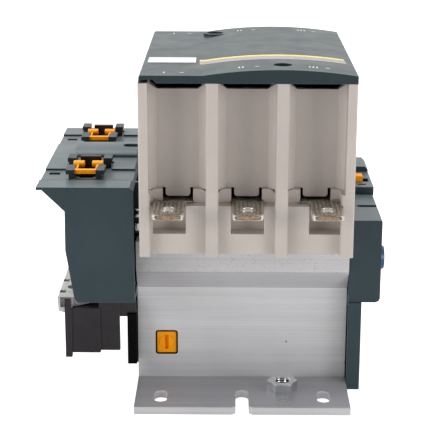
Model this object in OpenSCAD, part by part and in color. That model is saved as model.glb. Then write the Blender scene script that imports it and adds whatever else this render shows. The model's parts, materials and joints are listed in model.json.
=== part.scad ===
// Three-pole power contactor for panel mounting on four foot bolts.
// Origin: centre of the foot bolt pattern, on the mounting plane.
// +Z points away from the panel to the front cover, -Y is the line side,
// +Y is the load side, and X runs along the magnet frame extrusion.

/* [Magnet frame] */
// Length of the aluminium extrusion along X
frame_len = 105; // [100:1:112]
// Foot bolt distance along X
bolt_x = 80; // [74:1:84]
// Foot bolt distance along Y
bolt_y = 121; // [115:1:123]
// Width of the foot bolt slots
bolt_d = 6.5; // [5.5:0.5:7]
// Length of the foot bolt slots along Y
bolt_slot = 13.6; // [8:0.2:14]
// Width over the feet
foot_w = 148; // [142:1:152]
// Foot and base plate thickness
foot_t = 3.8; // [3:0.1:4]
// Outside width of the channel between its lower walls
channel_w = 70; // [68:1:72]
// Outside width of the channel above the flare
flare_w = 86; // [84:1:88]
// Extrusion wall thickness
wall_t = 3; // [2.5:0.5:3]
// Width of the location slot in each foot
slot_w = 6.4; // [5:0.2:8]

/* [Housing] */
// Width of the moulded housing along X
body_w = 101; // [100:1:102]
// X of the housing's centre plane
body_cx = 1.4; // [1:0.1:2]
// Depth over the outer faces of the ribs
body_d = 136; // [134:1:140]
// Pitch of the arc cells along X
cell_pitch = 32.7; // [32:0.1:33]
// X of the middle cell
cell_cx = 1.5; // [1:0.1:2]
// Half depth at the back walls of the cells
cell_y = 54; // [53:0.5:55]
// Height of the underside of the lower housing
housing_z = 78; // [78:1:78]
// Height of the seam between the two housings
seam_z = 110.5; // [110:0.5:111]
// Height of the underside of the front cover
cover_z = 161.2; // [160:0.2:163]

/* [Terminals] */
// Pitch of the terminal pads along X
pole_pitch = 37; // [36:0.5:38]
// X of the middle pad
pad_cx = 1.9; // [1.5:0.1:2.3]
// Half distance between line and load terminal tips
tip_y = 81; // [80:0.5:84]
// Terminal pad width
pad_w = 14.8; // [14:0.2:15]
// Terminal bar thickness
bar_t = 3; // [2.5:0.5:3]
// Height of the terminal bar underside
bar_z = 99.9; // [99:0.1:100]
// Terminal bolt hole diameter
pad_hole_d = 6.5; // [5.5:0.5:7]
// Half distance between line and load bolt holes
pad_hole_y = 72; // [70:0.2:73]

/* [Motion] */
// Travel of the armature and contact carrier
travel = 7.5; // [6:0.5:7.5]
// Part of the travel spent pressing closed contacts together
overtravel = 1.5; // [1:0.5:2]

/* [Cover] */
// Height of the flat stretch of the cover
cover_flat_z = 164.8; // [164:0.2:166]
// Height of the crown above the flat stretch
crown_h = 2.8; // [2:0.2:4]
// X where the crown starts to rise
crown_x = -19; // [-24:1:-14]

/* [Wings] */
// Half length of the left auxiliary housing along Y
wing_y = 65; // [64:1:67]
// Height of the left auxiliary housing's top
wing_z = 111; // [110:0.5:112]
// X of the auxiliary contact clips
clip_x = -76; // [-77:0.5:-75]
// Y of the front clip's centre
clip_y1 = -32; // [-33:0.5:-31]
// Distance between the two clips along Y
clip_pitch = 72; // [70:0.5:74]

/* [Hidden] */
$fn = 48;

light_grey = [0.80, 0.77, 0.74];
green_grey = [0.26, 0.32, 0.34];
alloy = [0.74, 0.74, 0.75];
steel = [0.60, 0.60, 0.62];
black = [0.10, 0.10, 0.11];
brown = [0.17, 0.10, 0.08];
orange = [0.95, 0.60, 0.10];
copper = [0.80, 0.48, 0.32];
silver = [0.86, 0.85, 0.82];

eps = 0.1;
sides = [-1, 1];
poles = [-1, 0, 1];

// Housing outline
body_x0 = body_cx - body_w / 2;
body_x1 = body_cx + body_w / 2;
rib_y = body_d / 2;
front_y = 63.5;
shoulder_y = 57.2;
end_wall = 5.1;
right_wall = 6.2;
cell_seam_z = seam_z - 1.9;
divider_w = 6;
divider_x = [cell_cx - cell_pitch / 2, cell_cx + cell_pitch / 2];

// Extrusion profile heights
flare_z0 = 51.7;
flare_z1 = 62.5;
lip_t = 4;

// Magnet lock window
lock_x = -38.05;
lock_z = 22.3;
lock_w = 10.5;
lock_h = 12.1;

// Magnet system
leg_x = 25;
leg_half = 8;
core_y = 17;
core_z0 = foot_t + 2.2;
yoke_top = 19;
pole_z = 46;
pole_gap = travel + 0.2;
armature_z = pole_z + pole_gap;
bobbin_z0 = 20;
bobbin_z1 = 43;
pin_z = 68;

// Contact system
beam_z0 = 80;
beam_z1 = 92;
bar_top = bar_z + bar_t;
tip_h = 2.1;
contact_gap = travel - overtravel;
bridge_z = bar_top + 2 * tip_h + contact_gap;
bridge_t = 3;
window_top = 136;
tip_mid_y = 22;

// Screws
screw_r = 1.9;
frame_screw_x = 38;
frame_screw_y = 38.3;
chute_screw_y = 62;
cover_screw_y = 54;

function cell_x(p) = cell_cx + p * cell_pitch;
function pad_x(p) = pad_cx + p * pole_pitch;

// A box given by its two corners
module block(a, b) {
  translate(a) cube([b[0] - a[0], b[1] - a[1], b[2] - a[2]]);
}

// Both the -Y and the +Y copy of something drawn on the +Y side
module both_sides() {
  for (s = sides) scale_side(s) children();
}

// The +Y drawing for s = 1, its mirror image for s = -1
module scale_side(s) {
  if (s > 0) children();
  else mirror([0, 1, 0]) children();
}

// A YZ outline extruded along X from x0 to x1
module along_x(x0, x1) {
  translate([x0, 0, 0]) rotate([90, 0, 90]) linear_extrude(x1 - x0) children();
}

// An XZ outline extruded along Y from y0 to y1
module along_y(y0, y1) {
  translate([0, y1, 0]) rotate([90, 0, 0]) linear_extrude(y1 - y0) children();
}

// A rectangle with round corners, centred on the origin
module round_rect(w, h, r) {
  hull() for (x = sides, y = sides) translate([x * (w / 2 - r), y * (h / 2 - r)]) circle(r, $fn = 32);
}

// A slotted pan-head screw standing on z = 0 with its head above
module screw(head_r, head_h, shank_r, shank_l) {
  difference() {
    cylinder(r = head_r, h = head_h);
    block([-head_r - 1, -0.5, head_h - 1.1], [head_r + 1, 0.5, head_h + 1]);
  }
  translate([0, 0, -shank_l]) cylinder(r = shank_r, h = shank_l);
}

// A compression spring standing on z = 0: one tube swept along a helix
module coil_spring(r, wire, len, turns) {
  ring = 6;
  steps = turns * 12;
  rise = len - 2 * wire;
  function centre(i) = [r * cos(360 * turns * i / steps), r * sin(360 * turns * i / steps), wire + rise * i / steps];
  function ring_point(i, j) =
    let (a = 360 * turns * i / steps, b = 360 * j / ring)
    centre(i) + wire * [cos(a) * cos(b), sin(a) * cos(b), sin(b)];
  points = [for (i = [0:steps]) for (j = [0:ring - 1]) ring_point(i, j)];
  skin = [for (i = [0:steps - 1]) for (j = [0:ring - 1])
    [i * ring + j, (i + 1) * ring + j, (i + 1) * ring + (j + 1) % ring, i * ring + (j + 1) % ring]];
  first_cap = [for (j = [0:ring - 1]) j];
  last_cap = [for (j = [ring - 1:-1:0]) steps * ring + j];
  polyhedron(points, concat(skin, [first_cap], [last_cap]), convexity = 10);
}

// ---------------------------------------------------------------- frame

// The extrusion's section: feet, channel walls, flare and inward lips
module frame_section() {
  w = channel_w / 2;
  f = flare_w / 2;
  half = [
    [foot_w / 2, 0], [foot_w / 2, foot_t], [w, foot_t],
    [w, flare_z0], [f, flare_z1], [f, housing_z],
    [f - 9, housing_z], [f - 9, housing_z - lip_t], [f - wall_t, housing_z - lip_t],
    [f - wall_t, flare_z1 + 1], [w - wall_t, flare_z0 + 1], [w - wall_t, foot_t]
  ];
  polygon(concat(half, [for (i = [len(half) - 1:-1:0]) [-half[i][0], half[i][1]]]));
}

// Plan of one foot bolt slot, round at both ends
module bolt_slot_plan() {
  reach = (bolt_slot - bolt_d) / 2;
  square([bolt_d, 2 * reach], center = true);
  for (y = sides) translate([0, y * reach]) circle(d = bolt_d);
}

module foot_slot() {
  chamfer = 2.5;
  inner_y = 53 + slot_w / 2;
  translate([0, inner_y, -1]) cylinder(d = slot_w, h = foot_t + 2);
  block([-slot_w / 2, inner_y, -1], [slot_w / 2, foot_w / 2 + 1, foot_t + 1]);
  translate([0, foot_w / 2, -1]) rotate([0, 0, 45])
    cube([slot_w / sqrt(2) + chamfer, slot_w / sqrt(2) + chamfer, 2 * foot_t + 4], center = true);
}

module magnet_frame() color(alloy) difference() {
  along_x(-frame_len / 2, frame_len / 2) frame_section();
  for (x = sides, y = sides) {
    translate([x * bolt_x / 2, y * bolt_y / 2, -1]) linear_extrude(foot_t + 2) bolt_slot_plan();
    translate([x * frame_screw_x, y * frame_screw_y, housing_z - lip_t - 1])
      cylinder(r = screw_r, h = lip_t + 2);
  }
  both_sides() foot_slot();
  along_y(-channel_w / 2 - 1, -channel_w / 2 + wall_t + 1) translate([lock_x, lock_z])
    offset(r = 1) square([lock_w - 2, lock_h - 2], center = true);
  translate([earth_x, earth_y, -1]) cylinder(r = 5, h = foot_t + 2);
}

// Earth nut: M8, pressed into the line-side foot by a round shank
earth_x = 20.1;
earth_y = -51.3;
nut_af = 13;
nut_h = 5.1;
nut_bore_r = 3.4;

module earth_nut() color(steel) translate([earth_x, earth_y, 0]) difference() {
  union() {
    cylinder(r = 5, h = foot_t);
    intersection() {
      translate([0, 0, foot_t]) cylinder(d = nut_af / cos(30), h = nut_h, $fn = 6);
      translate([0, 0, foot_t]) cylinder(r1 = 6.6 + nut_h * 1.7, r2 = 6.4, h = nut_h);
    }
  }
  translate([0, 0, -1]) cylinder(r = nut_bore_r, h = foot_t + nut_h + 2);
  translate([0, 0, foot_t + nut_h - 0.7]) cylinder(r1 = nut_bore_r, r2 = nut_bore_r + 0.8, h = 0.8);
}

// ---------------------------------------------------------------- magnet lock

module magnet_lock_bezel() color(orange) {
  gap = 0.3;
  face_y = -channel_w / 2 + 0.4;
  back_y = -30.2;
  difference() {
    union() {
      along_y(face_y, back_y) translate([lock_x, lock_z])
        offset(r = 0.7) square([lock_w - 1.4 - 2 * gap, lock_h - 1.4 - 2 * gap], center = true);
      block([lock_x - lock_w / 2 - 1.6, -channel_w / 2 + wall_t + 0.1, lock_z - lock_h / 2 - 1.6],
            [lock_x + lock_w / 2 + 1.6, back_y, lock_z + lock_h / 2 + 1.6]);
    }
    translate([lock_x, back_y + 1, lock_z]) rotate([90, 0, 0]) cylinder(r = 3.75, h = 10);
  }
}

module magnet_lock_cam() color(orange) {
  face_y = -channel_w / 2 + 0.2;
  cam_y = -30;
  difference() {
    translate([lock_x, cam_y, lock_z]) rotate([90, 0, 0]) cylinder(r = 3.7, h = cam_y - face_y);
    block([lock_x - 0.95, face_y - 1, lock_z - 5], [lock_x + 0.95, face_y + 1.4, lock_z + 5]);
  }
  // Tongue behind the wall that holds the magnet in the frame
  hull() for (z = [0, 6.2])
    translate([lock_x, cam_y + 1.5, lock_z + z]) rotate([90, 0, 0]) cylinder(r = 2.4, h = 1.6, $fn = 32);
}

// ---------------------------------------------------------------- magnet and coil

module core_cushions() color(black) both_sides()
  block([-leg_x - leg_half, 8, foot_t], [leg_x + leg_half, 16, core_z0]);

module fixed_core() color(steel) difference() {
  union() {
    block([-leg_x - leg_half, -core_y, core_z0], [leg_x + leg_half, core_y, yoke_top]);
    for (x = sides) block([x * leg_x - leg_half, -core_y, core_z0], [x * leg_x + leg_half, core_y, pole_z]);
  }
  for (x = sides) block([x * leg_x - 1.1, -core_y - 1, pole_z - 2.9], [x * leg_x + 1.1, core_y + 1, pole_z + 1]);
  // Shallow grooves between the packs of laminations
  for (y = [-12:6:12], x = sides)
    block([x > 0 ? leg_x + leg_half - 0.4 : -leg_x - leg_half - 1, y - 0.3, core_z0 - 1],
          [x > 0 ? leg_x + leg_half + 1 : -leg_x - leg_half + 0.4, y + 0.3, yoke_top - 1]);
}

// One shorted copper turn round the outer half of each pole
module shading_rings() color(copper) for (x = sides) mirror([x > 0 ? 0 : 1, 0, 0]) difference() {
  block([leg_x - 1, -core_y - 2, pole_z - 2.8], [leg_x + leg_half + 2, core_y + 2, pole_z - 0.6]);
  block([leg_x + 1, -core_y, pole_z - 4], [leg_x + leg_half, core_y, pole_z + 1]);
}

module coil_bobbin() color(black) {
  tube_x = leg_half + 0.4;
  tube_y = core_y + 0.4;
  wall = 1.4;
  flange_x = 18;
  flange_y = 28;
  for (x = sides) difference() {
    union() {
      block([x * leg_x - tube_x - wall, -tube_y - wall, bobbin_z0],
            [x * leg_x + tube_x + wall, tube_y + wall, bobbin_z1]);
      for (z = [bobbin_z0, bobbin_z1 - 2])
        block([x * leg_x - flange_x, -flange_y, z], [x * leg_x + flange_x, flange_y, z + 2]);
    }
    block([x * leg_x - tube_x, -tube_y, bobbin_z0 - 1], [x * leg_x + tube_x, tube_y, bobbin_z1 + 1]);
  }
  // Bridge between the two bobbins and the lead shelf at the left end
  block([-7.5, -16, bobbin_z0], [7.5, 16, bobbin_z0 + 2]);
  block([-52, -26, bobbin_z1 - 2], [-leg_x - flange_x + 1, 26, bobbin_z1]);
}

module coil_winding() color([0.55, 0.28, 0.16]) {
  inner_x = leg_half + 1.8;
  inner_y = core_y + 1.8;
  for (x = sides) translate([x * leg_x, 0, bobbin_z0 + 2]) linear_extrude(bobbin_z1 - bobbin_z0 - 4)
    difference() {
      round_rect(2 * (inner_x + 7), 2 * (inner_y + 8), 5);
      square([2 * inner_x, 2 * inner_y], center = true);
    }
}

lead_y0 = 20;
lead_y1 = 25.5;
coil_screw_x = -85.4;
coil_screw_y = 28;
block_x0 = -92;
block_x1 = -77;
block_y = 42;
block_z0 = 40.6;
block_z1 = 49.2;
lead_z = bobbin_z1;

module coil_leads() color(silver) both_sides() difference() {
  union() {
    block([-86, lead_y0, lead_z], [-44, lead_y1, lead_z + 0.8]);
    block([coil_screw_x - 3.5, lead_y0, lead_z], [coil_screw_x + 3.5, coil_screw_y + 3.5, lead_z + 0.8]);
  }
  translate([coil_screw_x, coil_screw_y, lead_z - 1]) cylinder(r = 1.75, h = 3);
}

module coil_terminal_block() color(light_grey) difference() {
  union() {
    along_y(-block_y, block_y) polygon([
      [block_x0, block_z1 - 0.8], [block_x0 + 0.6, block_z1], [block_x1, block_z1],
      [block_x1, block_z0 + 2.6], [block_x0 + 3.2, block_z0], [block_x0 + 0.5, block_z0 + 0.6]
    ]);
  }
  both_sides() {
    // Screw wells, conductor entries in the ends, and slots for the leads
    translate([coil_screw_x, coil_screw_y, lead_z + 0.8]) cylinder(r = 3, h = 10);
    translate([coil_screw_x, coil_screw_y, block_z0 - 1]) cylinder(r = 1.75, h = 10);
    block([coil_screw_x - 3.6, lead_y0 - 0.1, lead_z - 0.05], [block_x1 + 1, coil_screw_y + 3.6, lead_z + 0.9]);
    for (y = [17.7, 34.9]) block([-91.4, y - 2, block_z1 - 3], [-88.2, y + 2, block_z1 + 1]);
    block([-90.6, block_y - 5, block_z0 + 2.6], [-83.5, block_y + 1, block_z0 + 8]);
    // Set back behind the guard plate
    block([-84.6, block_y - 6, block_z0 - 1], [block_x1 + 1, block_y + 1, block_z0 + 7.4]);
    block([-86.3, block_y - 4, block_z0 - 1], [block_x1 + 1, block_y + 1, block_z0 + 2.4]);
  }
}

module coil_terminal_screws() color(steel) both_sides()
  translate([coil_screw_x, coil_screw_y, lead_z + 0.8]) screw(2.8, 2.6, 1.75, 3);

// ---------------------------------------------------------------- end covers

cover_y = 43;

// Plate over the open end of the channel
module channel_end_plate() color(black) difference() {
  union() {
    block([-57.3, -31.5, 10], [-frame_len / 2 - 0.2, 31.5, 76]);
    both_sides() block([-57.3, 31, 13.5], [-frame_len / 2 - 0.2, cover_y - 0.5, 40]);
  }
  block([-58, -27, 39.8], [-50, 27, 46]);
}

// Guard round the coil terminals: tray, posts and end panels
module left_end_cover() color(black) {
  both_sides() {
    block([-88.4, cover_y - 3, 17.1], [-85.2, cover_y, 40.4]);
    block([-88.4, cover_y - 0.9, 40], [-85.2, cover_y, 47.9]);
    block([-86, cover_y - 4.5, 19.3], [-71, cover_y - 0.7, 42.7]);
    block([-71.3, cover_y - 4, 20.4], [-61.2, cover_y - 1.4, 46.5]);
    block([-61.4, cover_y - 4, 40.2], [-52.9, cover_y - 2, 46.5]);
  }
  block([-88.4, -cover_y + 2, 38.2], [-57.4, cover_y - 2, 40.4]);
  block([-88.4, -cover_y + 3, 19.3], [-86, cover_y - 3, 40.4]);
}

module right_end_cover() color(green_grey) difference() {
  block([frame_len / 2 + 0.1, -cover_y, 0.4], [59.2, cover_y, 46.3]);
  block([frame_len / 2 - 1, -cover_y + 2.4, 3], [56.6, cover_y - 2.4, 44]);
}

// ---------------------------------------------------------------- housings

// Plan of one rib with rounded outer corners, from x0 to x1
module rib_plan(x0, x1, y0) {
  r = 1;
  translate([x0, y0]) square([x1 - x0, rib_y - r - y0]);
  translate([x0 + r, y0]) square([x1 - x0 - 2 * r, rib_y - y0]);
  for (x = [x0 + r, x1 - r]) translate([x, rib_y - r]) circle(r);
}

module rib_plans(y0) {
  rib_plan(body_x0, body_x0 + end_wall, y0);
  rib_plan(body_x1 - right_wall, body_x1, y0);
  for (x = divider_x) rib_plan(x - divider_w / 2, x + divider_w / 2, y0);
}

module lower_housing() color(light_grey) difference() {
  union() {
    block([body_x0, -cell_y, housing_z], [body_x1, cell_y, seam_z]);
    both_sides() {
      block([body_x0 + 1, cell_y - 1, housing_z], [body_x1 - 1, shoulder_y, seam_z - 5]);
      for (p = poles) along_y(cell_y - 1, shoulder_y) translate([cell_x(p), seam_z - 6.5])
        offset(r = 2.6) square([cell_pitch - divider_w - 5.2, 4], center = true);
      block([body_x0 + 1, cell_y - 1, housing_z + 0.3], [body_x1 - 1, front_y, bar_z + 2]);
      translate([0, 0, housing_z]) linear_extrude(seam_z - housing_z) rib_plans(cell_y);
    }
  }
  both_sides() for (p = poles) {
    // Way in for the terminal bar and the tongue above it
    block([cell_x(p) - 7.3, cell_y - 4.1, bar_z], [cell_x(p) + 7.3, shoulder_y + 1.6, seam_z + 1]);
    // Pocket under the pad
    block([pad_x(p) - 7.9, cell_y + 1.2, 88.2], [pad_x(p) + 7.9, front_y + 1, bar_z + 4]);
    block([pad_x(p) - 7.6, cell_y + 3, bar_z - 0.2], [pad_x(p) + 7.6, rib_y + 1, bar_top + 0.6]);
    // Step of the seam inside the cells
    block([cell_x(p) - 13.3, cell_y - 3.05, cell_seam_z], [cell_x(p) + 13.3, rib_y + 1, seam_z + 1]);
    // Contact chamber over the bar's inner end
    block([cell_x(p) - 13.5, -1, bar_z], [cell_x(p) + 13.5, cell_y - 4, seam_z + 1]);
    // Lightening pocket in the underside
    block([cell_x(p) - 12, 45.5, housing_z - 1], [cell_x(p) + 12, cell_y + 6, housing_z + 8]);
  }
  // Passages of the contact carrier and the armature bridge
  block([body_x0 + 4, -14, housing_z - 1], [body_x1 - 4, 14, bar_z + 1]);
  block([-13, -23.5, housing_z - 1], [13, 23.5, bar_z - 4]);
  // Way out for the auxiliary drive arm
  block([body_x0 - 1, -6, housing_z - 1], [body_x0 + 5, 6, beam_z1 + 1]);
  for (x = sides, y = sides) {
    translate([x * frame_screw_x, y * frame_screw_y, housing_z - 1]) cylinder(r = screw_r + 0.05, h = 12);
    translate([x * frame_screw_x, y * frame_screw_y, housing_z + 4]) cylinder(r = 4.2, h = 30);
  }
  for (x = divider_x, y = sides)
    translate([x, y * chute_screw_y, 90]) cylinder(r = 1.5, h = 30);
}

module frame_screws() color(steel) for (x = sides, y = sides)
  translate([x * frame_screw_x, y * frame_screw_y, housing_z + 4]) screw(3.8, 2.8, screw_r, lip_t + 4);

// Plan of the arc cell recess in front of a back wall
module cell_plan(p) {
  c = cell_x(p);
  w_back = 10;
  w_front = cell_pitch / 2 - divider_w / 2;
  translate([c, 0]) polygon([
    [-w_back, cell_y], [w_back, cell_y], [w_front, cell_y + 4.5], [w_front, rib_y + 2],
    [-w_front, rib_y + 2], [-w_front, cell_y + 4.5]
  ]);
}

module arc_chute_housing() color(light_grey) {
  chamber_y = cell_y - 3;
  step = 0.4;
  difference() {
    translate([0, 0, seam_z]) linear_extrude(cover_z - seam_z) difference() {
      union() {
        translate([body_x0, -cell_y - 5]) square([body_w + step, 2 * cell_y + 10]);
        for (s = sides) scale_side(s) rib_plans(cell_y);
      }
      for (s = sides, p = poles) scale_side(s) cell_plan(p);
    }
    for (p = poles) {
      block([cell_x(p) - 13.5, -chamber_y, seam_z - 1], [cell_x(p) + 13.5, chamber_y, cover_z + 1]);
      // Exhaust slots at the top of the back walls
      both_sides() along_y(chamber_y - 1, cell_y + 4.6) polygon([
        [cell_x(p) - 9.4, cover_z - 5], [cell_x(p) + 9.4, cover_z - 5], [cell_x(p) + 10.2, cover_z - 4.6],
        [cell_x(p) + 13.35, cover_z - 1.6], [cell_x(p) + 13.35, cover_z + 1],
        [cell_x(p) - 13.35, cover_z + 1], [cell_x(p) - 13.35, cover_z - 1.6], [cell_x(p) - 10.2, cover_z - 4.6]
      ]);
    }
    for (x = divider_x, y = sides) {
      translate([x, y * chute_screw_y, seam_z - 1]) cylinder(r = 1.5, h = 60);
      translate([x, y * chute_screw_y, cover_z - 3]) cylinder(r = 2.7, h = 4);
      translate([x, y * cover_screw_y, cover_z - 16]) cylinder(r = screw_r, h = 20);
    }
  }
  // Tongues that close the way in above each terminal bar
  both_sides() for (p = poles) along_y(chamber_y, cell_y) translate([cell_x(p), 0]) {
    translate([0, (bar_top + 1.4 + seam_z) / 2]) offset(r = 1.5) square([8.8, seam_z - bar_top - 4.4], center = true);
  }
  // Cell walls reach a little below the seam
  both_sides() for (p = poles) translate([0, 0, cell_seam_z]) linear_extrude(seam_z - cell_seam_z + 1) difference() {
    translate([cell_x(p) - 13.3, chamber_y]) square([26.6, 7.4]);
    cell_plan(p);
  }
}

module chute_screws() color(steel) for (x = divider_x, y = sides)
  translate([x, y * chute_screw_y, cover_z - 3]) screw(2.5, 2, 1.5, 60);

// ---------------------------------------------------------------- terminals and contacts

// One terminal on the +Y side: tinned copper bar, ribbed pad and bolt hole
module terminal(p) color(silver) {
  c = cell_x(p);
  q = pad_x(p);
  rib_h = 0.45;
  pad_y0 = shoulder_y + 0.1;
  bar_half = 7.1;
  difference() {
    union() {
      block([c - bar_half, 14, bar_z], [c + bar_half, pad_y0 + 1, bar_top]);
      translate([q, 0, bar_z]) linear_extrude(bar_t - rib_h) hull() {
        translate([-pad_w / 2, pad_y0]) square([pad_w, 5]);
        for (x = sides) translate([x * (pad_w / 2 - 2.2), tip_y - 2.2]) circle(2.2, $fn = 32);
      }
      for (i = [-3.5:1:3.5]) block([q + i * 1.94 - 0.5, pad_y0, bar_z + 1], [q + i * 1.94 + 0.5, tip_y - 1.2, bar_top]);
    }
    translate([q, pad_hole_y, bar_z - 1]) cylinder(d = pad_hole_d, h = bar_t + 2);
  }
}

module line_terminal_1() scale_side(-1) terminal(-1);
module line_terminal_2() scale_side(-1) terminal(0);
module line_terminal_3() scale_side(-1) terminal(1);
module load_terminal_1() terminal(-1);
module load_terminal_2() terminal(0);
module load_terminal_3() terminal(1);

module fixed_contact_tips() color(silver) both_sides() for (p = poles)
  block([cell_x(p) - 5, tip_mid_y - 4, bar_top], [cell_x(p) + 5, tip_mid_y + 4, bar_top + tip_h]);

// A movable bridge with a raised middle where the spring stands
module contact_bridge(p) color(copper) difference() {
  block([cell_x(p) - 5.6, -27.5, bridge_z], [cell_x(p) + 5.6, 27.5, bridge_z + bridge_t]);
  for (s = sides) scale_side(s)
    translate([cell_x(p), 27.5, bridge_z + bridge_t]) rotate([0, 90, 0]) cylinder(r = 1.6, h = 20, center = true);
}

module contact_bridge_1() contact_bridge(-1);
module contact_bridge_2() contact_bridge(0);
module contact_bridge_3() contact_bridge(1);

module moving_contact_tips() color(silver) both_sides() for (p = poles)
  block([cell_x(p) - 5, tip_mid_y - 4, bridge_z - tip_h], [cell_x(p) + 5, tip_mid_y + 4, bridge_z]);

module contact_springs() color(steel) for (p = poles)
  translate([cell_x(p), 0, bridge_z + bridge_t]) coil_spring(3.6, 0.65, window_top - bridge_z - bridge_t, 6);

module return_springs() color(steel) both_sides()
  translate([0, 11, bobbin_z0 + 2]) coil_spring(3.6, 0.7, armature_z + 8.3 - bobbin_z0 - 2, 8);

module contact_carrier() color([0.35, 0.17, 0.12]) difference() {
  union() {
    block([body_x0 + 7, -11, beam_z0], [body_x1 - 7, 11, beam_z1]);
    for (p = poles) block([cell_x(p) - 9, -5.5, beam_z1 - 1], [cell_x(p) + 9, 5.5, 140]);
    block([-10, -21.4, beam_z0], [10, 21.4, beam_z0 + 4]);
    both_sides() block([-10, core_y + 0.2, pin_z - 6], [10, 21.4, beam_z0 + 1]);
  }
  for (p = poles) block([cell_x(p) - 6, -7, bridge_z], [cell_x(p) + 6, 7, window_top]);
  translate([0, 0, pin_z]) rotate([90, 0, 0]) cylinder(r = 2.5, h = 60, center = true);
}

module armature() color(steel) difference() {
  union() {
    block([-leg_x - leg_half, -core_y, armature_z + 8.3], [leg_x + leg_half, core_y, 74]);
    for (x = sides) block([x * leg_x - leg_half, -core_y, armature_z], [x * leg_x + leg_half, core_y, 74]);
  }
  translate([0, 0, pin_z]) rotate([90, 0, 0]) cylinder(r = 2.5, h = 60, center = true);
  for (x = sides) translate([x * 27, 0, 0]) rotate([90, 0, 0]) translate([0, 69, 0]) cylinder(r = 1.6, h = 60, center = true);
}

module armature_pin() color(steel) translate([0, 0, pin_z]) rotate([90, 0, 0])
  cylinder(r = 2.47, h = 44, center = true);

// Steel plates that split the arc, in two stacks per pole
module arc_splitters(p) color(steel) both_sides() for (z = [116:5:151])
  translate([cell_x(p), 0, z]) linear_extrude(1.2) difference() {
    translate([-12.6, 31]) square([25.2, 18.5]);
    polygon([[-5, 30], [5, 30], [0.8, 40], [-0.8, 40]]);
  }

module arc_splitters_1() arc_splitters(-1);
module arc_splitters_2() arc_splitters(0);
module arc_splitters_3() arc_splitters(1);

// ---------------------------------------------------------------- front cover

cover_y1 = rib_y + 0.5;
cover_x0 = body_x0 + 0.6;
cover_x1 = body_x1;
crown_mid = (crown_x + cover_x1) / 2;
crown_half = (cover_x1 - crown_x) / 2;
crown_r = (pow(crown_half, 2) + pow(crown_h, 2)) / (2 * crown_h);

// Outline of the cover's top from end to end, lowered by d
function crown_points(d) = [for (i = [0:14])
  let (x = crown_x + (cover_x1 - crown_x) * i / 14)
  [x, cover_flat_z - d + sqrt(pow(crown_r, 2) - pow(x - crown_mid, 2)) - crown_r + crown_h]];

module front_cover() color(green_grey) difference() {
  union() {
    difference() {
      along_y(-cover_y1, cover_y1) polygon(concat(
        [[cover_x1, cover_z], [cover_x0, cover_z], [cover_x0, cover_flat_z - 0.8], [cover_x0 + 0.8, cover_flat_z]],
        crown_points(0)));
      intersection() {
        along_y(-cover_y1 + 2.4, cover_y1 - 2.4) polygon(concat(
          [[cover_x1, cover_z - 1], [cover_x0, cover_z - 1], [cover_x0, cover_flat_z - 2.2]],
          crown_points(2.2)));
        block([cover_x0 + 2.4, -cover_y1, 0], [cover_x1 - 2.4, cover_y1, 200]);
      }
      // Raised skirt at the left end of both long sides
      both_sides() along_y(cover_y1 - 3, cover_y1 + 1) polygon([
        [cover_x0 + 0.9, cover_z - 1], [cover_x0 + 9, cover_z - 1],
        [cover_x0 + 6.5, cover_z + 1.8], [cover_x0 + 0.9, cover_z + 1.8]
      ]);
    }
    cover_screw_places() translate([0, 0, cover_z]) cylinder(r = 6.2, h = 5);
  }
  cover_screw_places() {
    translate([0, 0, cover_z - 1]) cylinder(r = screw_r, h = 10);
    translate([0, 0, cover_z + 1.6]) cylinder(r = 4.4, h = 10);
  }
}

module cover_screw_places() {
  translate([divider_x[0], cover_screw_y, 0]) children();
  translate([divider_x[1], -cover_screw_y, 0]) children();
}

module cover_screws() color(steel) cover_screw_places()
  translate([0, 0, cover_z + 1.6]) screw(3.7, 2.4, screw_r, 16);

// ---------------------------------------------------------------- auxiliary side

wing_wall = 2.2;
strip_z = wing_z - 0.9;
arm_z = 86;

module aux_drive_yoke() color(brown) {
  block([clip_x, -4, arm_z], [body_x0 + 7, 4, beam_z1]);
  block([clip_x - 2.5, clip_y1 + 10, arm_z], [clip_x + 2.5, clip_y1 + clip_pitch + 16.6, beam_z1]);
}

// Upright sliding plate at the back of a clip, and its stem down to the yoke
module aux_driver(y) color(brown) translate([clip_x, y, 0]) {
  block([-5.1, 13.6, 102], [5.1, 16.4, 114.9]);
  block([-5.1, 13, 102], [5.1, 16.4, 106]);
  block([-2.4, 13.4, beam_z1], [2.4, 16.4, 103]);
}

module aux_driver_front() aux_driver(clip_y1);
module aux_driver_rear() aux_driver(clip_y1 + clip_pitch);

// Half-round rail across the top between the clips
module wing_rail() intersection() {
  along_x(-85.4, -53.7) translate([8.3, wing_z]) scale([13, 4.2]) circle(1, $fn = 72);
  block([-87, -10, wing_z - 1], [-53, 30, wing_z + 5]);
}

module left_wing() color(green_grey) {
  wing_shell();
  // Inner ribs that reach the side of the lower housing
  for (y = [-48, 46]) block([-66, y, 84], [body_x0, y + 2, wing_z - 1.6]);
}

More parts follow.
